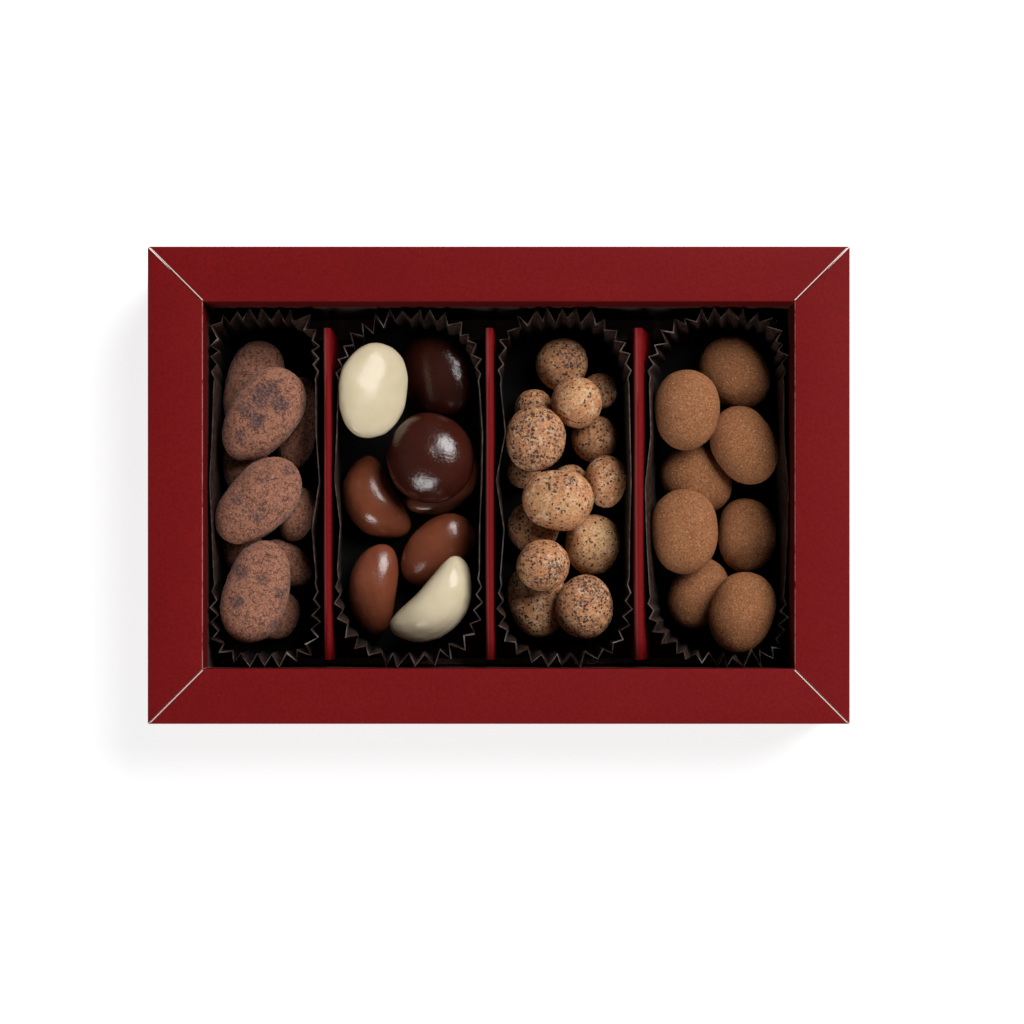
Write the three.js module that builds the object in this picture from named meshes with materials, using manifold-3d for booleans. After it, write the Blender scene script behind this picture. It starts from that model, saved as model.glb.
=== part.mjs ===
// A flat gift box of chocolate-coated almonds, open, seen as it lies on a table.
//
// The box is one folded red card tray with a wide hollow rim. A dark sheet lies on its floor, and
// a red card strip on that is folded up into three fins, which part the box into four bays. A
// fluted brown paper cup stands in each bay and holds one kind of coated nut.
//
// Millimetres, +Z up. X runs along the box, Y across it, and the origin is the middle of the
// underside, so the box stands on Z = 0.

import * as THREE from 'three';
import { mergeVertices } from 'three/addons/utils/BufferGeometryUtils.js';
import Module from 'manifold-3d';

const wasm = await Module();
wasm.setup();

// ---------------------------------------------------------------- driving sizes

const BOX = { length: 200, width: 136, height: 34 };
const CARD = 0.6;              // card of the tray
const RIM = 15.75;             // width of the hollow rim, outside to inside
const MITRE_SLIT = 0.4;        // where two rim panels meet at a corner
const WELL = { length: BOX.length - 2 * RIM, width: BOX.width - 2 * RIM };

const SHEET_GAP = 0.15;        // between sheets that lie on each other
const TOUCH_GAP = 0.3;         // between things that only touch
const LINER = { thick: 0.5, clear: 0.4 };

const STRIP = { thick: 0.5, yLow: -49.9, yHigh: 45.8, clear: 0.4 };
const FIN_TOP = 27;            // height of the folds above the table
const FOLD_STEPS = 6;
// Each fin: the two feet on the strip's floor, the middle of its fold and the fold's radius.
const FINS = [
  { left: -51.2, right: -48.2, fold: -49.4, radius: 0.8 },
  { left: -4.2, right: -0.5, fold: -2.6, radius: 0.85 },
  { left: 38.8, right: 46.6, fold: 40.4, radius: 1.1 },
];

const LINER_TOP = CARD + SHEET_GAP + LINER.thick;
const STRIP_TOP = LINER_TOP + SHEET_GAP + STRIP.thick;

const CUP = {
  foot: STRIP_TOP + TOUCH_GAP, // underside of the cup's base
  rim: 26,
  base: 0.35,                  // thickness of the base
  wall: 0.3,                   // thickness of the paper
  fluteWall: 0.45,             // the same, measured straight out through a slanting flute
  end: 50.3,                   // half length at the rim, on the middle of the flutes
  footEnd: 48.6,
  pleat: { end: 1.8, side: 1.1 },       // how far the flutes stand out and in, at the rim
  footPleat: { end: 0.5, side: 0.4 },   // and at the foot
  fadeIn: 4,                   // folds over which the flutes rise beside the plain sides
  footBow: 0.25,               // share of the sides' bow that is left at the foot
};

const END_STEPS = 24;          // steps in a quarter of a cup's round end
const NUT_DETAIL = 2;          // each face of an icosahedron is cut in nine
const UNEVEN = 0.016;          // how far a nut's surface wanders, as a share of its radius

// ---------------------------------------------------------------- finishes

function finish(color, roughness) {
  return new THREE.MeshStandardMaterial({ color, roughness, metalness: 0 });
}

const FINISH = {
  redCard: () => finish('#75181a', 0.6),
  darkLiner: () => finish('#1c1415', 0.7),
  cupPaper: () => finish('#32221b', 0.6),
  cocoa: () => finish('#80584a', 0.9),
  white: () => finish('#e5d8bc', 0.35),
  dark: () => finish('#351d17', 0.2),
  milk: () => finish('#703d2b', 0.25),
  speckled: () => finish('#b48058', 0.7),
  dusted: () => finish('#946146', 0.85),
};

// ---------------------------------------------------------------- helpers

function mesh(name, geometry, material) {
  const made = new THREE.Mesh(geometry, material);
  made.name = name;
  return made;
}

// One position for each corner, which is what a closed solid needs.
function weld(geometry) {
  const bare = geometry.clone();
  bare.deleteAttribute('normal');
  bare.deleteAttribute('uv');
  return mergeVertices(bare, 1e-5);
}

function toSolid(geometry) {
  const welded = weld(geometry);
  return new wasm.Manifold(new wasm.Mesh({
    numProp: 3,
    vertProperties: new Float32Array(welded.getAttribute('position').array),
    triVerts: new Uint32Array(welded.index.array),
  }));
}

function toGeometry(solid) {
  const data = solid.getMesh();
  const geometry = new THREE.BufferGeometry();
  geometry.setAttribute('position', new THREE.Float32BufferAttribute(data.vertProperties, 3));
  geometry.setIndex(Array.from(data.triVerts));
  return geometry;
}

// A block from its lowest to its highest corner.
function block(low, high) {
  const size = high.map((value, axis) => value - low[axis]);
  const geometry = new THREE.BoxGeometry(...size);
  geometry.translate(...low.map((value, axis) => value + size[axis] / 2));
  return geometry;
}

// Draws that are the same on every run.
function seededRandom(seed) {
  let state = seed >>> 0;
  return () => {
    state = (state + 0x6d2b79f5) >>> 0;
    let mixed = Math.imul(state ^ (state >>> 15), state | 1);
    mixed ^= mixed + Math.imul(mixed ^ (mixed >>> 7), mixed | 61);
    return ((mixed ^ (mixed >>> 14)) >>> 0) / 4294967296;
  };
}

// ---------------------------------------------------------------- tray

// Base, outer walls, rim panels and inner walls are one folded card. The rim is hollow, and open
// along the slit between two panels at each corner.
function trayGeometry() {
  const halfLength = BOX.length / 2;
  const halfWidth = BOX.width / 2;
  const wellX = WELL.length / 2;
  const wellY = WELL.width / 2;
  const roof = BOX.height - CARD;

  let solid = toSolid(block([-halfLength, -halfWidth, 0], [halfLength, halfWidth, BOX.height]));
  solid = solid.subtract(toSolid(block([-wellX, -wellY, CARD], [wellX, wellY, BOX.height + 1])));

  const hollow = toSolid(block(
    [-halfLength + CARD, -halfWidth + CARD, CARD],
    [halfLength - CARD, halfWidth - CARD, roof],
  ));
  const core = toSolid(block(
    [-wellX - CARD, -wellY - CARD, 0],
    [wellX + CARD, wellY + CARD, BOX.height],
  ));
  solid = solid.subtract(hollow.subtract(core));

  const slitRun = (RIM - 2 * CARD) * Math.SQRT2;
  for (const sideX of [-1, 1]) {
    for (const sideY of [-1, 1]) {
      const slit = new THREE.BoxGeometry(slitRun, MITRE_SLIT, 2 * CARD);
      slit.rotateZ(sideX * sideY * Math.PI / 4);
      slit.translate(sideX * (wellX + RIM / 2), sideY * (wellY + RIM / 2), BOX.height);
      solid = solid.subtract(toSolid(slit));
    }
  }
  return toGeometry(solid);
}

function linerGeometry() {
  const halfLength = WELL.length / 2 - LINER.clear;
  const halfWidth = WELL.width / 2 - LINER.clear;
  return block([-halfLength, -halfWidth, LINER_TOP - LINER.thick], [halfLength, halfWidth, LINER_TOP]);
}

// ---------------------------------------------------------------- fins

// The strip's middle line in X and Z: along the floor, and up and over each fin.
function stripLine() {
  const floor = STRIP_TOP - STRIP.thick / 2;
  const end = WELL.length / 2 - STRIP.clear;
  const line = [new THREE.Vector2(-end, floor)];
  for (const fin of FINS) {
    line.push(new THREE.Vector2(fin.left, floor));
    const centre = FIN_TOP - STRIP.thick / 2 - fin.radius;
    for (let step = 0; step <= FOLD_STEPS; step += 1) {
      const angle = Math.PI * (1 - step / FOLD_STEPS);
      line.push(new THREE.Vector2(
        fin.fold + fin.radius * Math.cos(angle),
        centre + fin.radius * Math.sin(angle),
      ));
    }
    line.push(new THREE.Vector2(fin.right, floor));
  }
  line.push(new THREE.Vector2(end, floor));
  return line;
}

// The line moved sideways by a distance, with its corners mitred.
function offsetLine(line, distance) {
  return line.map((point, index) => {
    const before = line[Math.max(index - 1, 0)];
    const after = line[Math.min(index + 1, line.length - 1)];
    const into = point.clone().sub(before).normalize();
    const out = after.clone().sub(point).normalize();
    if (index === 0) into.copy(out);
    if (index === line.length - 1) out.copy(into);
    const normal = new THREE.Vector2(-into.y - out.y, into.x + out.x).normalize();
    const stretch = 1 / (-into.y * normal.x + into.x * normal.y);
    return point.clone().addScaledVector(normal, distance * stretch);
  });
}

function stripGeometry() {
  const line = stripLine();
  const upper = offsetLine(line, STRIP.thick / 2);
  const lower = offsetLine(line, -STRIP.thick / 2);
  const section = new THREE.Shape([...lower, ...upper.reverse()]);
  const geometry = new THREE.ExtrudeGeometry(section, {
    depth: STRIP.yHigh - STRIP.yLow,
    bevelEnabled: false,
  });
  geometry.rotateX(Math.PI / 2);
  geometry.translate(0, STRIP.yHigh, 0);
  return geometry;
}

// ---------------------------------------------------------------- paper cups

// One end of a cup's outline, from the left side round to the right, as a point and the direction
// straight out of the cup. The end is a half circle with its left and right corner squared off by
// the two powers in square, where 2 is round, and its flutes run on along both sides.
function cupEnd(halfWidth, halfLength, flutes, runOn, square) {
  const centre = halfLength - halfWidth;
  const round = [];
  for (let step = -END_STEPS; step <= END_STEPS; step += 1) {
    const angle = 0.5 * Math.PI * step / END_STEPS;
    const power = 2 / square[step < 0 ? 0 : 1];
    round.push(new THREE.Vector2(
      halfWidth * Math.sign(step) * Math.abs(Math.sin(angle)) ** power,
      centre + halfWidth * Math.cos(angle) ** power,
    ));
  }
  const curve = new THREE.SplineCurve([
    new THREE.Vector2(-halfWidth, centre - runOn),
    ...round,
    new THREE.Vector2(halfWidth, centre - runOn),
  ]);
  const corners = [];
  for (let corner = 0; corner <= 2 * flutes; corner += 1) {
    const { x, y } = curve.getTangentAt(corner / (2 * flutes));
    corners.push({ at: curve.getPointAt(corner / (2 * flutes)), out: new THREE.Vector2(-y, x) });
  }
  return corners;
}

// A closed outline of the cup at one height, of the paper's outside or, where inside is 1, its
// inside. The flutes are folds that stand out and in by turns. The sides between them bow a little,
// as the bay's bowLeft and bowRight give, times slack.
function cupOutline({ bay, sides, end, pleat, inside, slack }) {
  const halfWidth = (sides[1] - sides[0]) / 2;
  const middle = (sides[1] + sides[0]) / 2;
  const fluted = (runOn, square) => {
    const corners = cupEnd(halfWidth, end, bay.flutes, runOn, square);
    return corners.map(({ at, out }, index) => {
      const rise = Math.min(1, Math.min(index, corners.length - 1 - index) / CUP.fadeIn);
      const turn = index % 2 === 0 ? rise : -rise;
      const reach = pleat.side + (pleat.end - pleat.side) * out.y ** 2;
      const wall = THREE.MathUtils.lerp(CUP.wall, CUP.fluteWall, rise);
      return at.clone().addScaledVector(out, reach * turn - inside * wall);
    });
  };
  const far = fluted(bay.runOn.far, bay.square.far);
  const near = fluted(bay.runOn.near, bay.square.near.toReversed()).map((point) => point.negate());
  const side = (edge, bow) => bow.map((out, index) => {
    const share = (index + 1) / (bow.length + 1);
    const along = THREE.MathUtils.lerp(far[0].y, near[0].y, share);
    return new THREE.Vector2(edge * (halfWidth + slack * out - inside * CUP.wall), along);
  });
  const outline = [...far, ...side(1, bay.bowRight), ...near, ...side(-1, bay.bowLeft).reverse()];
  return outline.map((point) => point.setX(point.x + middle));
}

function cupGeometry(bay) {
  const rim = { bay, sides: bay.rim, end: CUP.end, pleat: CUP.pleat, slack: 1 };
  const foot = { bay, sides: bay.foot, end: CUP.footEnd, pleat: CUP.footPleat, slack: CUP.footBow };
  return shellGeometry([
    { outline: cupOutline({ ...foot, inside: 0 }), height: CUP.foot },
    { outline: cupOutline({ ...rim, inside: 0 }), height: CUP.rim },
    { outline: cupOutline({ ...rim, inside: 1 }), height: CUP.rim },
    { outline: cupOutline({ ...foot, inside: 1 }), height: CUP.foot + CUP.base },
  ]);
}

// A skin through rings of points, closed by a flat face in the first ring and in the last.
// The rings run clockwise seen from above, the outside first. Each four-cornered face between two
// rings is split from its lower next corner to its upper one, going up the outside and down the
// inside, so that the thin wall's two faces bend alike and never cross.
function shellGeometry(rings) {
  const count = rings[0].outline.length;
  const places = rings.flatMap(({ outline, height }) => outline.flatMap(({ x, y }) => [x, y, height]));
  const faces = [];
  for (let ring = 0; ring + 1 < rings.length; ring += 1) {
    const goesDown = rings[ring + 1].height < rings[ring].height;
    for (let corner = 0; corner < count; corner += 1) {
      const next = (corner + 1) % count;
      const [a, b] = [ring * count + corner, ring * count + next];
      if (goesDown) {
        faces.push(a, a + count, b + count, a, b + count, b);
      } else {
        faces.push(a, a + count, b, b, a + count, b + count);
      }
    }
  }
  const lastStart = (rings.length - 1) * count;
  for (const [p, q, r] of THREE.ShapeUtils.triangulateShape(rings[0].outline, [])) {
    faces.push(r, q, p);
  }
  for (const [p, q, r] of THREE.ShapeUtils.triangulateShape(rings.at(-1).outline, [])) {
    faces.push(lastStart + p, lastStart + q, lastStart + r);
  }
  const geometry = new THREE.BufferGeometry();
  geometry.setAttribute('position', new THREE.Float32BufferAttribute(places, 3));
  geometry.setIndex(faces);
  return geometry;
}

// ---------------------------------------------------------------- nuts

// full: 2 is an ellipsoid, more is squarer. taper: how much thicker the forward end is than the
// middle. bend: how far the middle stands to the left of the two ends.
const FORM = {
  almond: { full: 2.25, taper: 0.08, bend: 0 },
  bean: { full: 2.25, taper: 0.04, bend: 1 },
  egg: { full: 2.1, taper: 0.09, bend: 0 },
  oval: { full: 2.15, taper: 0.03, bend: 0 },
  ball: { full: 2.0, taper: 0, bend: 0 },
};

// The wandering of one nut's surface: three slow waves in different directions.
function wander(random) {
  const waves = [0, 1, 2].map(() => ({
    direction: new THREE.Vector3(random() - 0.5, random() - 0.5, random() - 0.5).normalize(),
    pace: 2 + 2.5 * random(),
    start: 2 * Math.PI * random(),
  }));
  return (point) => waves.reduce(
    (sum, wave) => sum + UNEVEN * Math.sin(wave.pace * point.dot(wave.direction) + wave.start),
    1,
  );
}

// A nut about its own middle, its length turned the way it lies.
function nutGeometry(nut, seed) {
  const form = FORM[nut.form];
  const surface = wander(seededRandom(seed));
  const geometry = weld(new THREE.IcosahedronGeometry(1, NUT_DETAIL));
  const places = geometry.getAttribute('position');
  const point = new THREE.Vector3();
  for (let index = 0; index < places.count; index += 1) {
    point.fromBufferAttribute(places, index).normalize();
    const reach = ['x', 'y', 'z'].reduce((sum, axis) => sum + Math.abs(point[axis]) ** form.full, 0);
    const swell = surface(point);
    point.multiplyScalar(reach ** (-1 / form.full));
    const thick = swell * (1 + form.taper * point.x);
    const bow = form.bend * (nut.bend ?? 0) * (0.5 - point.x ** 2);
    places.setXYZ(
      index,
      0.5 * nut.long * point.x * swell,
      0.5 * nut.wide * point.y * thick + bow,
      0.5 * nut.deep * point.z * thick,
    );
  }
  geometry.rotateZ(THREE.MathUtils.degToRad(nut.turn));
  geometry.computeBoundingBox();
  return geometry;
}

// How low a nut can be let down over another before they touch, or the floor where they never do.
function restHeight(nut, under, floor) {
  const touches = (height) => !nut.translate([0, 0, height]).intersect(under).isEmpty();
  let high = 2 * BOX.height;
  while (high > floor && !touches(high - 1)) high -= 1;
  if (high <= floor) return floor;
  let low = high - 1;
  for (let halving = 0; halving < 6; halving += 1) {
    const height = (high + low) / 2;
    if (touches(height)) low = height; else high = height;
  }
  return high;
}

// Lets the nuts of one cup down in turn, each until it rests on the cup's base or on the nuts
// before it.
function fillCup(bay) {
  const placed = [];
  return bay.nuts.map((nut, index) => {
    const geometry = nutGeometry(nut, bay.seed + index);
    const size = geometry.boundingBox.getSize(new THREE.Vector3());
    const grow = size.toArray().map((side) => 1 + 2 * TOUCH_GAP / side);
    const grown = toSolid(geometry).scale(grow).translate([nut.x, nut.y, 0]);
    const floor = CUP.foot + CUP.base + TOUCH_GAP - geometry.boundingBox.min.z;
    const height = Math.max(floor, ...placed.map((under) => restHeight(grown, under, floor)));
    placed.push(toSolid(geometry).translate([nut.x, nut.y, height]));
    const made = mesh(nut.name, geometry, FINISH[nut.finish]());
    made.position.set(nut.x, nut.y, height);
    return made;
  });
}

// ---------------------------------------------------------------- what lies in each cup
//
// x and y are measured from the middle of the cup, turn is the way the length points, from +X
// towards +Y. The lowest nuts come first. Rim and foot give the cup's sides at its rim and base,
// bowLeft and bowRight how far a side stands out at even steps from one end to the other.

function cocoa(number, x, y, long, wide, deep, turn) {
  const name = `cocoa_almond_${String(number).padStart(2, '0')}`;
  return { name, form: 'almond', finish: 'cocoa', x, y, long, wide, deep, turn };
}

function speckled(number, x, y, long, wide, deep, turn = 0) {
  const name = `speckled_nut_${String(number).padStart(2, '0')}`;
  const form = long - wide > 2 ? 'egg' : 'ball';
  return { name, form, finish: 'speckled', x, y, long, wide, deep, turn };
}

function dusted(number, x, y, long, wide, deep, turn) {
  return { name: `dusted_nut_${number}`, form: 'oval', finish: 'dusted', x, y, long, wide, deep, turn };
}

function coated(name, form, x, y, long, wide, deep, turn, bend = 0) {
  return { name, form, finish: name.split('_')[0], x, y, long, wide, deep, turn, bend };
}

const BAYS = [
  {
    middle: -67.2,
    flutes: 16,
    runOn: { far: 6, near: 9.5 },
    square: { far: [4.5, 3.5], near: [4.0, 3.5] },
    seed: 100,
    rim: [-15.3, 14.6],
    foot: [-15.9, 14.3],
    bowLeft: [0.3, 1.2, 0.4],
    bowRight: [0.1, 1.0, -1.2],
    nuts: [
      cocoa(1, 7.3, 20.1, 28.0, 12.5, 10.5, 84),
      cocoa(2, -8.2, 7.5, 18.5, 13.5, 10.5, 90),
      cocoa(3, -8.8, -17.7, 13.5, 11.5, 10.5, 90),
      cocoa(4, 4.2, -21.4, 16.5, 11.5, 10.5, -38),
      cocoa(5, 0.2, -36.4, 15.6, 15.2, 10.5, 80),
      cocoa(6, -6.2, 30.9, 27.0, 16.8, 10.5, 70),
      cocoa(7, 7.7, -7.4, 16.5, 10.2, 11.5, 75),
      cocoa(8, -1.7, 21.5, 30.0, 19.6, 12.5, 54),
      cocoa(9, -2.7, -4.2, 29.8, 19.0, 12.5, 45),
      cocoa(10, -3.1, -30.2, 31.0, 19.2, 12.5, 256),
    ],
  },
  {
    middle: -25.5,
    flutes: 17,
    runOn: { far: 1, near: 5.5 },
    square: { far: [2.1, 2.5], near: [2.4, 2.5] },
    seed: 200,
    rim: [-21.2, 20.0],
    foot: [-22.0, 19.9],
    bowLeft: [0.2, 0.9, -0.6],
    bowRight: [0.8, 0.7, 0.2],
    nuts: [
      coated('dark_nut_1', 'oval', 6.8, 33.9, 25.4, 19.8, 14.5, 120),
      coated('milk_nut_1', 'bean', 9.2, 0.9, 25.5, 9.5, 8.5, 33, -5.5),
      coated('milk_nut_2', 'bean', -10.7, -2.6, 27.2, 15.6, 14.0, 118, 4),
      coated('milk_nut_3', 'bean', 7.4, -17.8, 25.5, 16.6, 14.0, 40, 0),
      coated('milk_nut_4', 'bean', -11.0, -29.4, 27.0, 14.0, 13.5, 85, 2),
      coated('white_nut_1', 'bean', 6.5, -33.2, 29.2, 14.6, 14.0, 46, -5),
      coated('dark_nut_2', 'ball', 5.4, 8.8, 27.0, 26.0, 21.0, 90),
      coated('white_nut_2', 'egg', -10.8, 28.1, 28.0, 19.6, 13.6, 260),
    ],
  },
  {
    middle: 19.0,
    flutes: 16,
    runOn: { far: 2, near: 5.5 },
    square: { far: [3.0, 2.3], near: [2.8, 2.6] },
    seed: 300,
    rim: [-18.7, 18.8],
    foot: [-18.3, 18.6],
    bowLeft: [-1.5, 1.2, -1.0],
    bowRight: [0.2, 0.5, 0.1],
    nuts: [
      speckled(1, -0.2, 37.6, 15.8, 15.8, 13.5),
      speckled(2, 10.9, 29.6, 11.0, 11.0, 10.0),
      speckled(3, -8.6, 24.5, 11.8, 11.8, 10.5),
      speckled(4, 9.6, 15.4, 14.0, 14.0, 12.5),
      speckled(5, -11.6, 5.8, 10.6, 10.6, 10.0),
      speckled(6, 2.4, 2.3, 11.0, 11.0, 9.5),
      speckled(7, -8.8, -11.2, 15.4, 15.4, 13.0),
      speckled(8, -7.3, -32.5, 22.5, 17.5, 13.0, 100),
      speckled(9, 8.9, -16.1, 18.7, 16.4, 14.0, 90),
      speckled(10, 12.5, 2.3, 15.0, 12.6, 11.5, 90),
      speckled(11, 3.9, 25.3, 15.2, 15.2, 14.0),
      speckled(12, -8.2, 14.4, 19.8, 18.0, 13.5, 90),
      speckled(13, -1.9, -3.4, 20.8, 18.4, 13.5, -10),
      speckled(14, -6.1, -22.5, 15.5, 15.5, 14.0),
      speckled(15, 6.2, -34.7, 19.0, 17.2, 14.0, 90),
    ],
  },
  {
    middle: 63.2,
    flutes: 17,
    runOn: { far: 1, near: 1 },
    square: { far: [2.1, 3.8], near: [2.2, 4.4] },
    seed: 400,
    rim: [-19.8, 19.4],
    foot: [-15.3, 19.8],
    bowLeft: [-0.4, 1.2, 0.8],
    bowRight: [-0.2, 1.2, 1.0],
    nuts: [
      dusted(1, 7.0, 34.8, 23.2, 19.4, 13.0, 135),
      dusted(2, -4.4, 3.3, 22.5, 19.0, 13.0, 140),
      dusted(3, 10.4, -13.4, 22.6, 17.8, 13.5, 90),
      dusted(4, -3.8, -30.8, 21.5, 17.0, 13.0, 62),
      dusted(5, 8.9, 12.8, 23.6, 18.6, 13.0, 120),
      dusted(6, -8.6, 22.7, 24.0, 19.0, 13.0, 88),
      dusted(7, -8.9, -12.5, 25.2, 19.8, 13.0, 92),
      dusted(8, 7.9, -36.0, 23.8, 19.0, 13.0, 68),
    ],
  },
];

// ---------------------------------------------------------------- the whole box

const box = new THREE.Group();
box.add(mesh('tray', trayGeometry(), FINISH.redCard()));
box.add(mesh('floor_liner', linerGeometry(), FINISH.darkLiner()));
box.add(mesh('divider_strip', stripGeometry(), FINISH.redCard()));

BAYS.forEach((bay, index) => {
  const group = new THREE.Group();
  group.position.x = bay.middle;
  const cup = mesh(`paper_cup_${index + 1}`, cupGeometry(bay), FINISH.cupPaper());
  group.add(cup, ...fillCup(bay));
  box.add(group);
});

export default box;
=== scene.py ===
# %% [markdown]
# # A box of chocolate almonds
#
# A flat red card box stands open on a table. Three card fins part it into four bays, and each bay
# holds a fluted paper cup of coated nuts. The solid model gives every piece its place and size.
# Here each piece gets its real surface: folded card with white cut edges, waxed paper, cocoa
# powder, speckled sugar and polished chocolate.
#
# Everything is in metres, so the lengths below are written in millimetres times MM.

# %% Load the solid model
import math

import bmesh
import bpy
import numpy as np
from mathutils import Matrix, Vector, noise


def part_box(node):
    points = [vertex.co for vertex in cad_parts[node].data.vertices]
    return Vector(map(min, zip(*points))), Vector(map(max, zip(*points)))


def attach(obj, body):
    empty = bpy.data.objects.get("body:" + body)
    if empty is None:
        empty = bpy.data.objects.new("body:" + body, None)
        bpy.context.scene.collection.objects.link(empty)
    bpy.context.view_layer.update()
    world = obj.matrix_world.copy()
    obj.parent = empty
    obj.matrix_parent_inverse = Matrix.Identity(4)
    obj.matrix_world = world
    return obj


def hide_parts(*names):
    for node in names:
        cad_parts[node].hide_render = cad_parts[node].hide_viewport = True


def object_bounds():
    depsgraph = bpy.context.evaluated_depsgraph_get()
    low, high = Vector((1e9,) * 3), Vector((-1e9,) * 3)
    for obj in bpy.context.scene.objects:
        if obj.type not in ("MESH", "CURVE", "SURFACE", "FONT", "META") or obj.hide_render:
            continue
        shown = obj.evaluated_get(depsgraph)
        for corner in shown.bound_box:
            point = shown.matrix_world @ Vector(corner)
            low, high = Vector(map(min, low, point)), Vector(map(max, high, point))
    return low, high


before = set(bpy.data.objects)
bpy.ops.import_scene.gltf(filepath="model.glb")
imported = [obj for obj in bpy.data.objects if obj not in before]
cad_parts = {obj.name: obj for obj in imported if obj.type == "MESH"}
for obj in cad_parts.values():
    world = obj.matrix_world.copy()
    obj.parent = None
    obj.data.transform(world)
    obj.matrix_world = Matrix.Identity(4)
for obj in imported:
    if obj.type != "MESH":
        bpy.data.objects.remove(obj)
solid_low, solid_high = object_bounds()
MM = 0.001
print("nodes:", len(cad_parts), "size mm:", [round(v / MM, 1) for v in solid_high - solid_low])

# %% [markdown]
# ## Where things are in the picture
#
# The camera looks straight down, so a place in the picture is a place on the box. Marks such as a
# bare patch on a nut are easiest to give as the column and row where they are seen. The scale
# changes a little with height, because what lies nearer to the lens looks larger.

# %% Camera and picture scale
PICTURE = 1024
LENS_HEIGHT = 594 * MM
FOOT_POINT = Vector((0.36 * MM, -36.4 * MM))   # straight under the lens
FOOT_PIXEL = (500, 613)
SENSOR = 36.0
RIM_HEIGHT = solid_high.z
RIM_SCALE = 0.2847 * MM                        # metres to a pixel at the height of the rim


def seen_at(column, row, height):
    """The place on the box, at a height, that shows at a column and row of the picture."""
    scale = RIM_SCALE * (LENS_HEIGHT - height) / (LENS_HEIGHT - RIM_HEIGHT)
    return Vector((
        FOOT_POINT.x + (column - FOOT_PIXEL[0]) * scale,
        FOOT_POINT.y - (row - FOOT_PIXEL[1]) * scale,
        height,
    ))


lens = bpy.data.cameras.new("lens")
lens.sensor_width = SENSOR
lens.lens = SENSOR * (LENS_HEIGHT - RIM_HEIGHT) / (PICTURE * RIM_SCALE)
lens.shift_x = (PICTURE / 2 - FOOT_PIXEL[0]) / PICTURE
lens.shift_y = (FOOT_PIXEL[1] - PICTURE / 2) / PICTURE
lens.clip_start = 10 * MM
camera = bpy.data.objects.new("camera", lens)
camera.location = (FOOT_POINT.x, FOOT_POINT.y, LENS_HEIGHT)
bpy.context.scene.collection.objects.link(camera)
bpy.context.scene.camera = camera
print("lens mm:", round(lens.lens, 1), "shift:", round(lens.shift_x, 4), round(lens.shift_y, 4))

# %% [markdown]
# ## Mixing finishes
#
# Every finish here is a Principled shader with a few textures in front of it. All textures read
# Object coordinates, so a grain has one real size on every piece and no two nuts look alike. A
# small class gives the nodes short names. Colours are given as they look on a screen, 0 to 255,
# and changed to the linear values that a shader expects.

# %% Short names for shader nodes


def tint(red, green, blue):
    """A screen colour as linear red, green, blue and alpha."""
    def linear(value):
        value /= 255
        return value / 12.92 if value <= 0.04045 else ((value + 0.055) / 1.055) ** 2.4
    return (linear(red), linear(green), linear(blue), 1.0)


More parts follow.
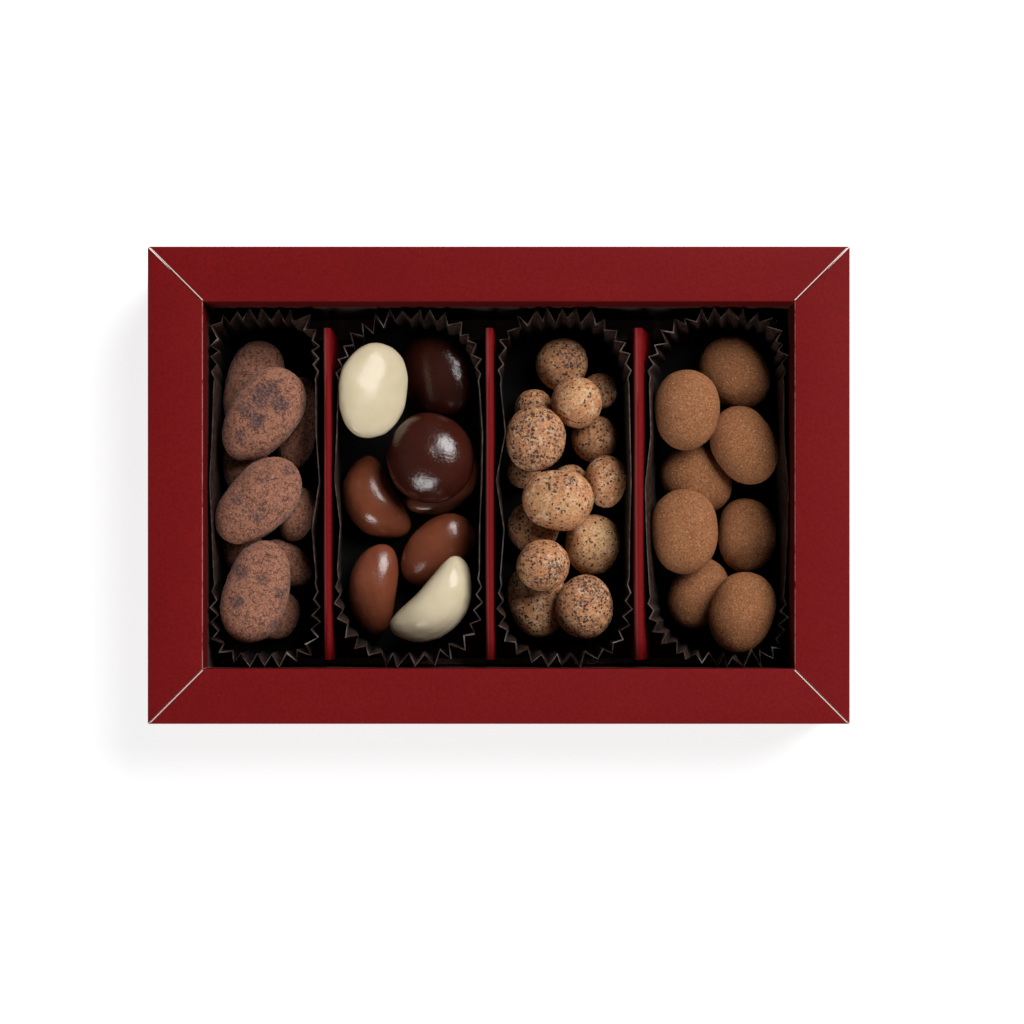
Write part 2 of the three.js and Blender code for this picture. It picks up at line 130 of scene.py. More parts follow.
class Finish:
    """A material in the making."""

    def __init__(self, name, **sockets):
        self.material = bpy.data.materials.new(name)
        self.material.use_nodes = True
        self.tree = self.material.node_tree
        self.shader = self.tree.nodes["Principled BSDF"]
        self.place = self.node("ShaderNodeTexCoord").outputs["Object"]
        for socket, value in sockets.items():
            self.shader.inputs[socket.replace("_", " ")].default_value = value

    def node(self, kind, **settings):
        """A new node of a kind, with its settings."""
        made = self.tree.nodes.new(kind)
        for key, value in settings.items():
            setattr(made, key, value)
        return made

    def feed(self, socket, value):
        """Links a socket to another one's value, or sets it to a constant."""
        if isinstance(value, bpy.types.NodeSocket):
            self.tree.links.new(value, socket)
        else:
            socket.default_value = value

    def noise(self, size, detail=2.0, rough=0.5):
        """Soft blotches of about that size in millimetres, 0 to 1."""
        made = self.node("ShaderNodeTexNoise")
        self.feed(made.inputs["Vector"], self.place)
        made.inputs["Scale"].default_value = 1 / (size * MM)
        made.inputs["Detail"].default_value = detail
        made.inputs["Roughness"].default_value = rough
        return made.outputs["Fac"]

    def cells(self, size, place=None):
        """Scattered points, that many millimetres apart: how far the nearest is, and two draws of it."""
        made = self.node("ShaderNodeTexVoronoi")
        self.feed(made.inputs["Vector"], place or self.place)
        made.inputs["Scale"].default_value = 1 / (size * MM)
        draws = self.node("ShaderNodeSeparateColor")
        self.feed(draws.inputs[0], made.outputs["Color"])
        return made.outputs["Distance"], draws.outputs["Red"], draws.outputs["Green"]

    def math(self, operation, first, second=0.0):
        """The result of one sum on two values."""
        made = self.node("ShaderNodeMath", operation=operation)
        self.feed(made.inputs[0], first)
        self.feed(made.inputs[1], second)
        return made.outputs[0]

    def step(self, value, low, high):
        """0 below low, 1 above high, and a soft rise between. It falls if low is the larger."""
        made = self.node("ShaderNodeMapRange", interpolation_type="SMOOTHSTEP")
        self.feed(made.inputs["Value"], value)
        made.inputs["From Min"].default_value = low
        made.inputs["From Max"].default_value = high
        return made.outputs["Result"]

    def mix(self, share, first, second):
        """The first colour where share is 0, the second where it is 1."""
        made = self.node("ShaderNodeMix", data_type="RGBA")
        self.feed(made.inputs["Factor"], share)
        self.feed(made.inputs[6], first)
        self.feed(made.inputs[7], second)
        return made.outputs[2]

    def warped(self, size, reach):
        """The place, pushed about by a noise, which makes round spots ragged."""
        noisy = self.node("ShaderNodeTexNoise")
        self.feed(noisy.inputs["Vector"], self.place)
        noisy.inputs["Scale"].default_value = 1 / (size * MM)
        noisy.inputs["Detail"].default_value = 3.0
        push = self.node("ShaderNodeVectorMath", operation="MULTIPLY_ADD")
        self.feed(push.inputs[0], noisy.outputs["Color"])
        push.inputs[1].default_value = (reach * MM,) * 3
        self.feed(push.inputs[2], self.place)
        return push.outputs[0]

    def creases(self, size, width):
        """Thin winding lines, 1 on the line, along which a noise passes its middle value."""
        away = self.math("ABSOLUTE", self.math("SUBTRACT", self.noise(size, 3), 0.5))
        return self.step(away, width, width * 0.3)

    def axes(self):
        """The place's X, Y and Z, each on its own."""
        split = self.node("ShaderNodeSeparateXYZ")
        self.feed(split.inputs[0], self.place)
        return split.outputs

    def attribute(self, name):
        """A point attribute of the mesh. It is 0 on a mesh that has none of that name."""
        return self.node("ShaderNodeAttribute", attribute_name=name).outputs["Fac"]

    def colour(self, value):
        """Gives the shader its colour."""
        self.feed(self.shader.inputs["Base Color"], value)

    def relief(self, height, depth):
        """A fine relief of about that depth in millimetres, seen in the shading only."""
        made = self.node("ShaderNodeBump")
        made.inputs["Strength"].default_value = 1.0
        made.inputs["Distance"].default_value = depth * MM
        self.feed(made.inputs["Height"], height)
        self.feed(self.shader.inputs["Normal"], made.outputs["Normal"])


print("tint of paper white:", [round(v, 3) for v in tint(235, 230, 220)])

# %% [markdown]
# ## Pieces from the solid model
#
# A piece that keeps its solid's form starts as a copy of that solid. The copy's triangles are
# loose, so their corners are merged first. When the piece is done it takes the solid's place.
# Faces that meet at a small angle are shaded as one surface, and sharper edges stay sharp.

# %% Copying a solid and handing over a piece
MERGE = 0.001 * MM                # corners closer than this are one corner


def copy_of(node):
    """A bmesh with a solid's shape and its corners merged."""
    made = bmesh.new()
    made.from_mesh(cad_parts[node].data)
    bmesh.ops.remove_doubles(made, verts=made.verts, dist=MERGE)
    return made


def hand_over(name, shape, finishes, stands_for, smooth_below=35):
    """Makes an object of a bmesh, which takes the place of the solids it stands for."""
    mesh = bpy.data.meshes.new(name)
    shape.to_mesh(mesh)
    shape.free()
    for polygon in mesh.polygons:
        polygon.use_smooth = True
    mesh.set_sharp_from_angle(angle=math.radians(smooth_below))
    for made in finishes:
        mesh.materials.append(made.material)
    piece = bpy.data.objects.new(name, mesh)
    bpy.context.scene.collection.objects.link(piece)
    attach(piece, "root")
    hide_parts(*stands_for)
    return piece


# %% [markdown]
# ## Red card
#
# The box is uncoated red card with a fine tooth. The colour wanders a little, like printed ink on
# paper, and a fleck of paler fibre shows here and there. Where card is cut, its white core shows,
# so there is a second finish for the cut edges. The inner walls have a third: near the rim a red
# darker than the rim's, which is painted shade, and below a set height dark grey-brown. The height
# above the table chooses between them. The rim's folds rub pale with handling, and the left edge of
# each fin's fold gets a painted highlight.

# %% Card finishes
WALL_DARK_TOP = 24.3 * MM            # the inner walls are dark grey-brown below this height
WALL_DARK_EDGE = 0.7 * MM            # and fades out over this height
red_card = Finish("red_card", Roughness=0.62, Specular_IOR_Level=0.08)
cloudy = red_card.noise(18, 4)
tooth = red_card.noise(0.9, 4, rough=0.65)
red = red_card.mix(cloudy, tint(111, 15, 19), tint(126, 19, 21))
pits = red_card.math("MULTIPLY", red_card.step(tooth, 0.4, 0.66), 0.45)
red = red_card.mix(pits, red, tint(94, 10, 14))
fleck_far, fleck_draw, _ = red_card.cells(1.5)
fleck = red_card.math("MULTIPLY", red_card.step(fleck_far, 0.16, 0.04), red_card.step(fleck_draw, 0.9, 0.95))
red = red_card.mix(red_card.math("MULTIPLY", fleck, 0.25), red, tint(168, 70, 62))
broken = red_card.step(red_card.noise(3.4, 5, rough=0.65), 0.32, 0.54)
rubbed = red_card.math("MULTIPLY", red_card.attribute("rubbed"), broken)
red = red_card.mix(rubbed, red, tint(214, 150, 138))
# Painted highlight: the fins' attribute lightens the left edge of each fold to a pale pink.
red_card.colour(red_card.mix(red_card.attribute("fold_highlight"), red, tint(166, 84, 80)))
red_card.relief(tooth, 0.05)

cut_card = Finish("cut_card", Roughness=0.75)
fibre = cut_card.noise(0.5, 3)
cut_card.colour(cut_card.mix(fibre, tint(196, 168, 158), tint(238, 226, 216)))
cut_card.relief(fibre, 0.05)

inner_card = Finish("inner_card", Roughness=0.7, Specular_IOR_Level=0.05)
blotch = inner_card.noise(5, 4)
# Painted shade: the inner walls' red is darker than the rim's red.
shaded_red = inner_card.mix(blotch, tint(80, 14, 15), tint(100, 20, 20))
dark_part = inner_card.mix(blotch, tint(60, 45, 43), tint(74, 56, 53))
above = inner_card.step(inner_card.axes()["Z"], WALL_DARK_TOP, WALL_DARK_TOP + WALL_DARK_EDGE)
inner_card.colour(inner_card.mix(above, dark_part, shaded_red))
inner_card.relief(inner_card.noise(0.9, 3), 0.05)
print("card finishes:", red_card.material.name, cut_card.material.name, inner_card.material.name)

# %% [markdown]
# ## The tray
#
# The rim of such a box is hollow. One strip of card stands up as the outer wall, folds in as the
# rim and folds down as the inner wall. Each side is one such strip, cut at 45 degrees where it
# meets the next. So a side is made the way it is folded: draw its section, a rounded U upside
# down, extrude it along the side, and slice both ends with a slanting plane. The two cuts leave a
# narrow dark slit at every corner. On the two long sides a chamfer beside it shows the white core.

# %% Sizes of the tray
CARD = 0.6 * MM
FOLD = 0.5 * MM                   # outer radius of a fold
RIM = 15.75 * MM
SLIT = 0.11 * MM                  # half the gap at a mitre
CUT_SHOWS = 0.3 * MM              # how wide the white core shows beside the gap
INSIDE_FOLD = 0.06 * MM           # the small chamfer inside a fold
FOLD_STEPS = 4
SPARE = 2 * MM                    # length beyond each corner, which the mitres cut off
MARGIN = 0.1 * MM                 # room round the base, and what still counts as the inner wall
HAIR = 0.02 * MM                  # too small to see
half_length, half_width = solid_high.x, solid_high.y
print("tray half sizes mm:", round(half_length / MM, 1), round(half_width / MM, 1))

# %% Cutting a shape along a plane


def cut_through(shape, place, facing, drop_front=False):
    """Cuts a shape along a plane and returns the cut's edges. It may drop what is in front."""
    cut = bmesh.ops.bisect_plane(
        shape,
        geom=shape.verts[:] + shape.edges[:] + shape.faces[:],
        dist=MERGE,
        plane_co=place,
        plane_no=facing,
        clear_outer=drop_front,
    )
    return [part for part in cut["geom_cut"] if isinstance(part, bmesh.types.BMEdge)]


# %% One folded side


def arc(centre_across, centre_up, radius, start, end):
    """Points of a fold's arc in the section, from one angle to another."""
    points = []
    for step in range(FOLD_STEPS + 1):
        angle = math.radians(start + (end - start) * step / FOLD_STEPS)
        points.append((centre_across + radius * math.cos(angle), centre_up + radius * math.sin(angle)))
    return points


def side_section(outer, top):
    """The section of a side, out from the middle of the box, as a closed run of points."""
    inner = outer - RIM
    outside = [
        (outer, 0),
        *arc(outer - FOLD, top - FOLD, FOLD, 0, 90),
        *arc(inner + FOLD, top - FOLD, FOLD, 90, 180),
        (inner, CARD),
    ]
    inside = [
        (inner + CARD, CARD),
        (inner + CARD, top - CARD - INSIDE_FOLD),
        (inner + CARD + INSIDE_FOLD, top - CARD),
        (outer - CARD - INSIDE_FOLD, top - CARD),
        (outer - CARD, top - CARD - INSIDE_FOLD),
        (outer - CARD, 0),
    ]
    return outside + inside


def folded_side(outer, reach):
    """One side along X, facing +Y, mitred at both ends. outer is its distance from the middle."""
    side = bmesh.new()
    points = side_section(outer, RIM_HEIGHT)
    section = side.faces.new([side.verts.new((-reach - SPARE, across, up)) for across, up in points])
    run = bmesh.ops.extrude_face_region(side, geom=[section])
    far_end = [part for part in run["geom"] if isinstance(part, bmesh.types.BMVert)]
    bmesh.ops.translate(side, vec=(2 * (reach + SPARE), 0, 0), verts=far_end)
    for end in (-1, 1):
        corner = (end * (reach - SLIT * math.sqrt(2)), outer, 0)
        slant = Vector((end, -1, 0)).normalized()
        cut_edges = cut_through(side, corner, slant, drop_front=True)
        filled = bmesh.ops.contextual_create(side, geom=cut_edges)
        for face in filled["faces"]:
            face.material_index = 1
    bmesh.ops.recalc_face_normals(side, faces=side.faces)
    return side


print("points in a side's section:", len(side_section(half_width, RIM_HEIGHT)))

# %% White core beside a mitre


def show_white_core(side):
    """Chamfers the top edge beside each mitre, and leaves the chamfer white."""
    edges = [e for e in side.edges
             if min(v.co.z for v in e.verts) > RIM_HEIGHT - HAIR
             and any(f.material_index == 1 for f in e.link_faces)]
    bmesh.ops.bevel(
        side, geom=edges, offset=CUT_SHOWS, segments=1, profile=0.5, affect="EDGES", material=1
    )


# %% Four sides and the base make the tray


def join(into, other, turn):
    """Adds a bmesh to another, turned about the vertical by so many degrees."""
    turned = Matrix.Rotation(math.radians(turn), 3, "Z")
    bmesh.ops.rotate(other, cent=(0, 0, 0), matrix=turned, verts=other.verts)
    spare = bpy.data.meshes.new("spare")
    other.to_mesh(spare)
    other.free()
    into.from_mesh(spare)
    bpy.data.meshes.remove(spare)


tray = bmesh.new()
for turn, outer, reach in (
    (0, half_width, half_length),
    (180, half_width, half_length),
    (90, half_length, half_width),
    (270, half_length, half_width),
):
    side = folded_side(outer, reach)
    if outer < reach:
        show_white_core(side)
    join(tray, side, turn)
base = bmesh.new()
base_size = (2 * (half_length - CARD) - MARGIN, 2 * (half_width - CARD) - MARGIN, CARD - HAIR)
bmesh.ops.create_cube(base, size=1)
bmesh.ops.scale(base, vec=base_size, verts=base.verts)
bmesh.ops.translate(base, vec=(0, 0, CARD / 2), verts=base.verts)
join(tray, base, 0)
print("tray faces:", len(tray.faces))

# %% [markdown]
# The inner edges of the left and right rim are rubbed by handling. A point attribute marks them,
# and the card finish turns a broken line along them pale. The long faces are first cut into short
# ones, because an attribute can only change where there are points. The inner walls are found by
# the way their faces point, which is towards the middle of the box, and take the inner-wall finish.

# %% Rubbed edges and the finished tray
RUB_STRETCHES = 24
RUBBED_LEFT = 0.5
RUBBED_RIGHT = 0.75
RUB_ACROSS = 0.2 * MM             # the rubbed line is this wide
RUB_DOWN = 0.4 * MM               # and reaches this far below the rim
STEEP = 0.3                       # a wall's normal rises less than this
well_x = half_length - RIM
well_y = half_width - RIM
for stretch in range(1, RUB_STRETCHES):
    cut_at = -half_width + 2 * half_width * stretch / RUB_STRETCHES
    cut_through(tray, (0, cut_at, 0), (0, 1, 0))
rub = tray.verts.layers.float.new("rubbed")
for vertex in tray.verts:
    on_fold = HAIR < abs(vertex.co.x) - well_x < RUB_ACROSS and vertex.co.z > RIM_HEIGHT - RUB_DOWN
    strength = RUBBED_LEFT if vertex.co.x < 0 else RUBBED_RIGHT
    vertex[rub] = strength if on_fold and abs(vertex.co.y) < well_y else 0.0
for face in tray.faces:
    middle = face.calc_center_median()
    faces_well = abs(face.normal.z) < STEEP and face.normal.dot(Vector((middle.x, middle.y, 0))) < 0
    in_well = abs(middle.x) < well_x + MARGIN and abs(middle.y) < well_y + MARGIN
    if faces_well and in_well:
        face.material_index = 2
card_tray = hand_over("card_tray", tray, [red_card, cut_card, inner_card], ["tray"])
print("tray triangles:", sum(len(p.vertices) - 2 for p in card_tray.data.polygons))

# %% [markdown]
# ## Floor sheet and fins
#
# A dark sheet lies on the floor of the tray. On it lies a strip of the same red card, folded up
# into three fins. Both keep their solids' forms. The sheet only needs its edges rounded. The fins
# are cut into short lengths, so that their folds can wander a little to either side, as folded
# card does. Their faces are sorted too: what faces along the box's short side is a cut end, and
# that end is white core. The left edge of each fold gets a paler, pinker painted highlight, and a
# point attribute marks it.

# %% Floor sheet
dark_liner = Finish("dark_liner", Roughness=0.55)
web = dark_liner.noise(6, 5)
dark_liner.colour(dark_liner.mix(web, tint(126, 99, 96), tint(148, 118, 115)))
dark_liner.relief(dark_liner.noise(0.8, 3), 0.04)
SHEET_EDGE = 0.08 * MM            # how far the sheet's edges are rounded
sheet = copy_of("floor_liner")
bmesh.ops.bevel(
    sheet, geom=sheet.edges[:], offset=SHEET_EDGE, segments=2, profile=0.5, affect="EDGES", material=-1
)
floor_sheet = hand_over("floor_sheet", sheet, [dark_liner], ["floor_liner"])
print("floor sheet faces:", len(floor_sheet.data.polygons))

# %% Fins
FIN_FOLDS = (-49.4 * MM, -2.6 * MM, 40.4 * MM)   # the middle of each fin's fold
FIN_RADIUS = 0.8 * MM
FIN_LENGTHS = 16                  # into how many short lengths a fin is cut
FIN_FOOT = 1 * MM                 # below this the strip lies flat and stays as it is
WANDER = 0.3 * MM                 # how far a fold wanders sideways
WANDER_LENGTH = 30 * MM
WANDER_DRAW = 7.0
HIGHLIGHT_DOWN = 1.2 * MM              # the painted highlight reaches this far below the fold
HIGHLIGHT_FROM, HIGHLIGHT_TO = 0.6, 1.5     # and spans these distances left of its middle, in fold radii
HIGHLIGHT_STRENGTH = 0.5
SQUARE_ON = 0.9                   # a face is square to an axis if its normal has this much of it
fins = copy_of("divider_strip")
strip_low, strip_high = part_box("divider_strip")
for length in range(1, FIN_LENGTHS):
    cut_at = strip_low.y + (strip_high.y - strip_low.y) * length / FIN_LENGTHS
    cut_through(fins, (0, cut_at, 0), (0, 1, 0))
foot_top = strip_low.z + FIN_FOOT
for vertex in fins.verts:
    share = max(0.0, (vertex.co.z - foot_top) / (strip_high.z - foot_top))
    vertex.co.x += WANDER * share * noise.noise(Vector((0, vertex.co.y / WANDER_LENGTH, WANDER_DRAW)))
# Painted highlight: this attribute marks the left edge of each fold, which the card finish lightens.
fold_highlight = fins.verts.layers.float.new("fold_highlight")
for vertex in fins.verts:
    for fold in FIN_FOLDS:
        past = (fold - vertex.co.x) / FIN_RADIUS
        if vertex.co.z > strip_high.z - HIGHLIGHT_DOWN and HIGHLIGHT_FROM < past < HIGHLIGHT_TO:
            vertex[fold_highlight] = HIGHLIGHT_STRENGTH
for face in fins.faces:
    face.material_index = 1 if abs(face.normal.y) > SQUARE_ON else 0
card_fins = hand_over(
    "card_fins", fins, [red_card, cut_card], ["divider_strip"], smooth_below=50
)
print("fins faces:", len(card_fins.data.polygons))

# %% [markdown]
# ## Paper cups
#
# The cups are pressed from brown waxed paper. Their flutes stand sharp at the rim and fade towards
# the foot. The solid cup has the flutes, but its walls run straight from foot to rim. Real paper
# bends on the way, so the walls are cut into rings, and a noise that grows with height moves the
# points. At the round ends there is room for the flutes to splay, so the push is larger there, and
# no two flutes are alike, but none leaves the cup's box, where the fins and walls stand. Both faces
# of the paper get the same push, because the noise only reads their place. The rim is a cut edge,
# which looks like a thin pale line. Deep in a cup almost nothing shows, so painted shade takes the
# paper's colour to near black at the foot, and it turns browner towards the rim. The paper is also
# matt at the foot and glossier towards the rim.

# %% Paper finishes
cup_paper = Finish("cup_paper", Specular_IOR_Level=0.2)
crinkle = cup_paper.noise(1.4, 5, rough=0.6)
paper = cup_paper.mix(cup_paper.step(crinkle, 0.32, 0.68), tint(28, 18, 16), tint(80, 57, 47))
# Painted shade: the paper's colour goes to near black towards the foot of the cup.
up = cup_paper.step(cup_paper.axes()["Z"], 7 * MM, 25 * MM)
cup_paper.colour(cup_paper.mix(up, tint(5, 3, 3), paper))
waxed = cup_paper.math("SUBTRACT", 1.0, cup_paper.math("MULTIPLY", up, 0.55))
cup_paper.feed(cup_paper.shader.inputs["Roughness"], waxed)
cup_paper.relief(crinkle, 0.2)

cup_edge = Finish("cup_edge", Roughness=0.5)
patchy = cup_edge.noise(2.2, 3)
cup_edge.colour(cup_edge.mix(cup_edge.step(patchy, 0.38, 0.68), tint(27, 19, 16), tint(82, 63, 54)))
print("paper finishes:", cup_paper.material.name, cup_edge.material.name)

# %% Four cups
RINGS = 9
SPLAY = 1.9 * MM                  # how far a flute's tip may wander at a round end
SIDE_SPLAY = 0.3 * MM             # and along the plain sides
WAVE = 4.4 * MM                   # the size of that wandering
ROUND_FROM = 0.68                 # a round end starts at this share of the half length
ROUND_BLEND = 0.15                # and is in full play this much further
DROP = 0.4 * MM                   # how uneven the rim is in height along the sides
END_DROP = 2.0 * MM               # and how much more at a round end
DROP_BIAS = 0.45                  # the noise is lowered by this, so the rim mostly sinks
RIM_BAND = 0.1 * MM               # faces this close to the top are the cut rim


def paper_cup(number):
    """One cup: cut into rings, splayed towards the rim and put in place of its solid."""
    node = f"paper_cup_{number}"
    low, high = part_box(node)
    cup = copy_of(node)
    for ring in range(1, RINGS):
        cut_through(cup, (0, 0, low.z + (high.z - low.z) * ring / RINGS), (0, 0, 1))
    for face in cup.faces:
        at_rim = face.calc_center_median().z > high.z - RIM_BAND
        face.material_index = 1 if at_rim and face.normal.z > SQUARE_ON else 0
    draw = 11.0 * number
    middle, half = (low.y + high.y) / 2, (high.y - low.y) / 2
    for vertex in cup.verts:
        share = (vertex.co.z - low.z) / (high.z - low.z)
        at_end = min(1.0, max(0.0, (abs(vertex.co.y - middle) / half - ROUND_FROM) / ROUND_BLEND))
        reach = (SIDE_SPLAY + (SPLAY - SIDE_SPLAY) * at_end) * share ** 2
        flat = Vector((vertex.co.x / WAVE, vertex.co.y / WAVE, draw))
        pushed_x = vertex.co.x + reach * noise.noise(flat + Vector((0, 0, share)))
        pushed_y = vertex.co.y + reach * noise.noise(flat + Vector((40, 0, share)))
        vertex.co.x = min(high.x, max(low.x, pushed_x))
        vertex.co.y = min(high.y, max(low.y, pushed_y))
        uneven = noise.noise(flat + Vector((0, 60, 0))) - DROP_BIAS
        vertex.co.z += (DROP + END_DROP * at_end) * share ** 4 * uneven
    finishes = [cup_paper, cup_edge]
    return hand_over(f"fluted_cup_{number}", cup, finishes, [node], smooth_below=28)


for number in range(1, 5):
    cup = paper_cup(number)
    print(cup.name, "faces:", len(cup.data.polygons))

# %% [markdown]
# ## Coated nuts
#
# A nut starts as its coarse solid. The Subdivision Surface modifier rounds it, and smoothing passes
# take out the last corners. Both draw it in, so the result is stretched back to the solid's box.
# Polished nuts get more passes than powdered ones, because a highlight shows every corner.

# %% Rounding a solid
SMOOTH_LEVELS = 3


def fit_to_box(shape, node):
    """Stretches a shape back to its solid's box."""
    low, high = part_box(node)
    places = np.array([v.co for v in shape.verts])
    shape_low, shape_high = places.min(0), places.max(0)
    stretch = [(high[a] - low[a]) / (shape_high[a] - shape_low[a]) for a in range(3)]
    shift = [(high[a] + low[a]) / 2 - stretch[a] * (shape_high[a] + shape_low[a]) / 2 for a in range(3)]
    for vertex in shape.verts:
        vertex.co = Vector([stretch[a] * vertex.co[a] + shift[a] for a in range(3)])
    shape.normal_update()


def rounded(node, passes):
    """A fine, smooth bmesh in a nut's box, relaxed so many times."""
    coarse = copy_of(node)
    mesh = bpy.data.meshes.new("rounding")
    coarse.to_mesh(mesh)
    coarse.free()
    holder = bpy.data.objects.new("rounding", mesh)
    bpy.context.scene.collection.objects.link(holder)
    smoother = holder.modifiers.new("smooth", "SUBSURF")
    smoother.levels = smoother.render_levels = SMOOTH_LEVELS
    seen = holder.evaluated_get(bpy.context.evaluated_depsgraph_get())
    fine = bmesh.new()
    fine.from_mesh(seen.to_mesh())
    bpy.data.objects.remove(holder)
    bpy.data.meshes.remove(mesh)
    for _ in range(passes):
        bmesh.ops.smooth_vert(
            fine, verts=fine.verts, factor=0.5, use_axis_x=True, use_axis_y=True, use_axis_z=True
        )
    fit_to_box(fine, node)
    return fine


trial = rounded("dark_nut_2", 6)
print("faces of one rounded nut:", len(trial.faces))
trial.free()

# %% [markdown]
# ## Nuts that lean or bend
#
# Seen from above, a nut that leans has nearly the same outline as one that lies flat, but its
# highlights fall elsewhere. Three small changes are enough here. A lean pushes the top of a nut one way and
# its bottom the other way. An arch lets both ends down. And one end can be wider than the other.
# Each is followed by a stretch back to the solid's box, so no nut moves or grows. The tables name
# the nuts that need one of them. Right is along X, and the far end of a nut is the one along Y.

# %% Lean, arch and widen
LEANS = {                         # how far the top goes to the right and to the far end, in mm
    "white_nut_1": (-1.5, 1.0),
    "white_nut_2": (-7.0, -1.0),
    "dark_nut_1": (6.0, -0.5),
    "milk_nut_3": (0, 2.5),
    "milk_nut_4": (0, 3.0),
    "dusted_nut_8": (0, 1.0),
}
ARCHED = {                        # the way the nut's length points, in degrees, and the drop in mm
    "milk_nut_2": (118, 4.5),
    "milk_nut_4": (85, 1.5),
    "white_nut_1": (46, 0.7),
}
WIDENED = {                       # how much wider the far end is, and the near end, as shares
    "white_nut_2": (0.22, -0.04),
    "dark_nut_1": (0.08, 0.04),
}


def lean(shape, node, right, back):
    """Pushes the top of a nut sideways and its bottom the other way, within the same box."""
    low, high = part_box(node)
    middle, half = (low.z + high.z) / 2, (high.z - low.z) / 2
    for vertex in shape.verts:
        share = (vertex.co.z - middle) / half
        vertex.co.x += right * MM * share
        vertex.co.y += back * MM * share
    fit_to_box(shape, node)


def arch(shape, node, turn, drop):
    """Lets both ends of a nut down by so many mm. turn is the way its length points."""
    low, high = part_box(node)
    middle = (low + high) / 2
    length = Vector((math.cos(math.radians(turn)), math.sin(math.radians(turn)), 0))
    reach = max(abs((v.co - middle).dot(length)) for v in shape.verts)
    for vertex in shape.verts:
        vertex.co.z -= drop * MM * ((vertex.co - middle).dot(length) / reach) ** 2
    fit_to_box(shape, node)


def widen(shape, node, far, near):
    """Makes the far and the near end of a nut wider, by shares of its width, or narrower below 0."""
    low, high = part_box(node)
    middle_x, middle_y = (low.x + high.x) / 2, (low.y + high.y) / 2
    for vertex in shape.verts:
        along = (vertex.co.y - middle_y) / ((high.y - low.y) / 2)
        grown = 1 + far * max(along, 0) + near * max(-along, 0)
        vertex.co.x = middle_x + (vertex.co.x - middle_x) * grown
    fit_to_box(shape, node)


print("nuts that lean or bend:", sorted({*LEANS, *ARCHED, *WIDENED}))

# %% [markdown]
# ## Uneven coatings
#
# No coating is even. The points of a nut move in and out a little along their normals: slow waves
# for the uneven coating, finer ones for caked powder. The glossy ones get hardly more than the slow
# waves, because polishing takes the rest away. Each nut reads another part of the noise.

# %% Caking a nut


def cake(shape, layers, seed):
    """Moves points in and out along their normals. Each layer is a size and a depth in mm."""
    pushes = []
    for vertex in shape.verts:
        push = 0.0
        for layer, (size, depth) in enumerate(layers):
            push += depth * noise.noise(vertex.co / (size * MM) + Vector((seed, layer * 9, 0)))
        pushes.append(vertex.normal * push * MM)
    for vertex, push in zip(shape.verts, pushes):
        vertex.co += push


print("the noise at one point:", round(noise.noise(Vector((1.3, 0.4, 2.1))), 3))

# %% [markdown]
# ## Marks on the nuts
#
# Powder rubs off where nuts touch, and sugar gathers in places. Such marks are painted as a point
# attribute: each mark is a soft spot around a place in the picture. The finish then breaks the spot
# up with a noise, so that its edge is ragged. With that, one function can take a nut from its solid
# to the finished piece.

# %% Painting marks


def paint(shape, name, spots, height):
    """Fills a point attribute from spots: column, row, radius in pixels and strength."""
    layer = shape.verts.layers.float.new(name)
    places = [seen_at(column, row, height) for column, row, _, _ in spots]
    for vertex in shape.verts:
        value = 0.0
        for place, (_, _, radius, strength) in zip(places, spots):
            away = math.hypot(vertex.co.x - place.x, vertex.co.y - place.y) / (radius * RIM_SCALE)
            value = max(value, strength * max(0.0, 1 - away * away))
        vertex[layer] = value


print("1 pixel on a mark, in mm:", round(RIM_SCALE / MM, 3))

# %% One coated nut


def coated_nut(node, name, finish, layers, passes, seed, marks=None, attribute=None):
    """One nut: rounded, bent, caked, marked and put in place of its solid."""
    shape = rounded(node, passes)
    lean(shape, node, *LEANS.get(node, (0, 0)))
    widen(shape, node, *WIDENED.get(node, (0, 0)))
    arch(shape, node, *ARCHED.get(node, (0, 0)))
    cake(shape, layers, seed)
    if attribute:
        paint(shape, attribute, marks or [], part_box(node)[1].z)
    return hand_over(name, shape, [finish], [node], smooth_below=180)


print("nuts in the solid model:", sum("nut" in node or "almond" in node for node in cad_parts))

# %% [markdown]
# ## Cocoa almonds
#
# Cocoa powder is matt and reddish, with fine dark cracks and grey-black flecks where the dark
# coating shows through. On some nuts the powder is wiped thin, which leaves blue-grey smears.

# %% Cocoa finish
cocoa = Finish("cocoa_dust", Roughness=0.92, Specular_IOR_Level=0.15, Sheen_Weight=0.12, Sheen_Roughness=0.4)
powder = cocoa.mix(cocoa.noise(7, 4), tint(142, 93, 74), tint(174, 120, 96))
grain = cocoa.noise(0.6, 5, rough=0.75)
powder = cocoa.mix(cocoa.math("MULTIPLY", cocoa.step(grain, 0.46, 0.62), 0.6), powder, tint(98, 64, 54))
powder = cocoa.mix(cocoa.math("MULTIPLY", cocoa.step(grain, 0.46, 0.36), 0.55), powder, tint(200, 146, 118))
cracks = cocoa.math("MULTIPLY", cocoa.creases(1.0, 0.06), cocoa.step(cocoa.noise(1.5, 4), 0.44, 0.56))
powder = cocoa.mix(cocoa.math("MULTIPLY", cracks, 0.75), powder, tint(56, 40, 38))
ragged = cocoa.warped(0.8, 0.9)
fleck_far, fleck_draw, fleck_size = cocoa.cells(1.0, ragged)
fleck_far = cocoa.math("ADD", fleck_far, cocoa.math("MULTIPLY", fleck_size, 0.2))
flecks = cocoa.math("MULTIPLY", cocoa.step(fleck_far, 0.48, 0.3), cocoa.step(fleck_draw, 0.55, 0.65))
powder = cocoa.mix(cocoa.math("MULTIPLY", flecks, 0.6), powder, tint(62, 46, 46))
wiped = cocoa.math("MULTIPLY", cocoa.attribute("wiped"), cocoa.math("ADD", cocoa.noise(3.0, 4), 0.5))
veil = cocoa.math("MULTIPLY", cocoa.step(wiped, 0.25, 0.9), 0.5)
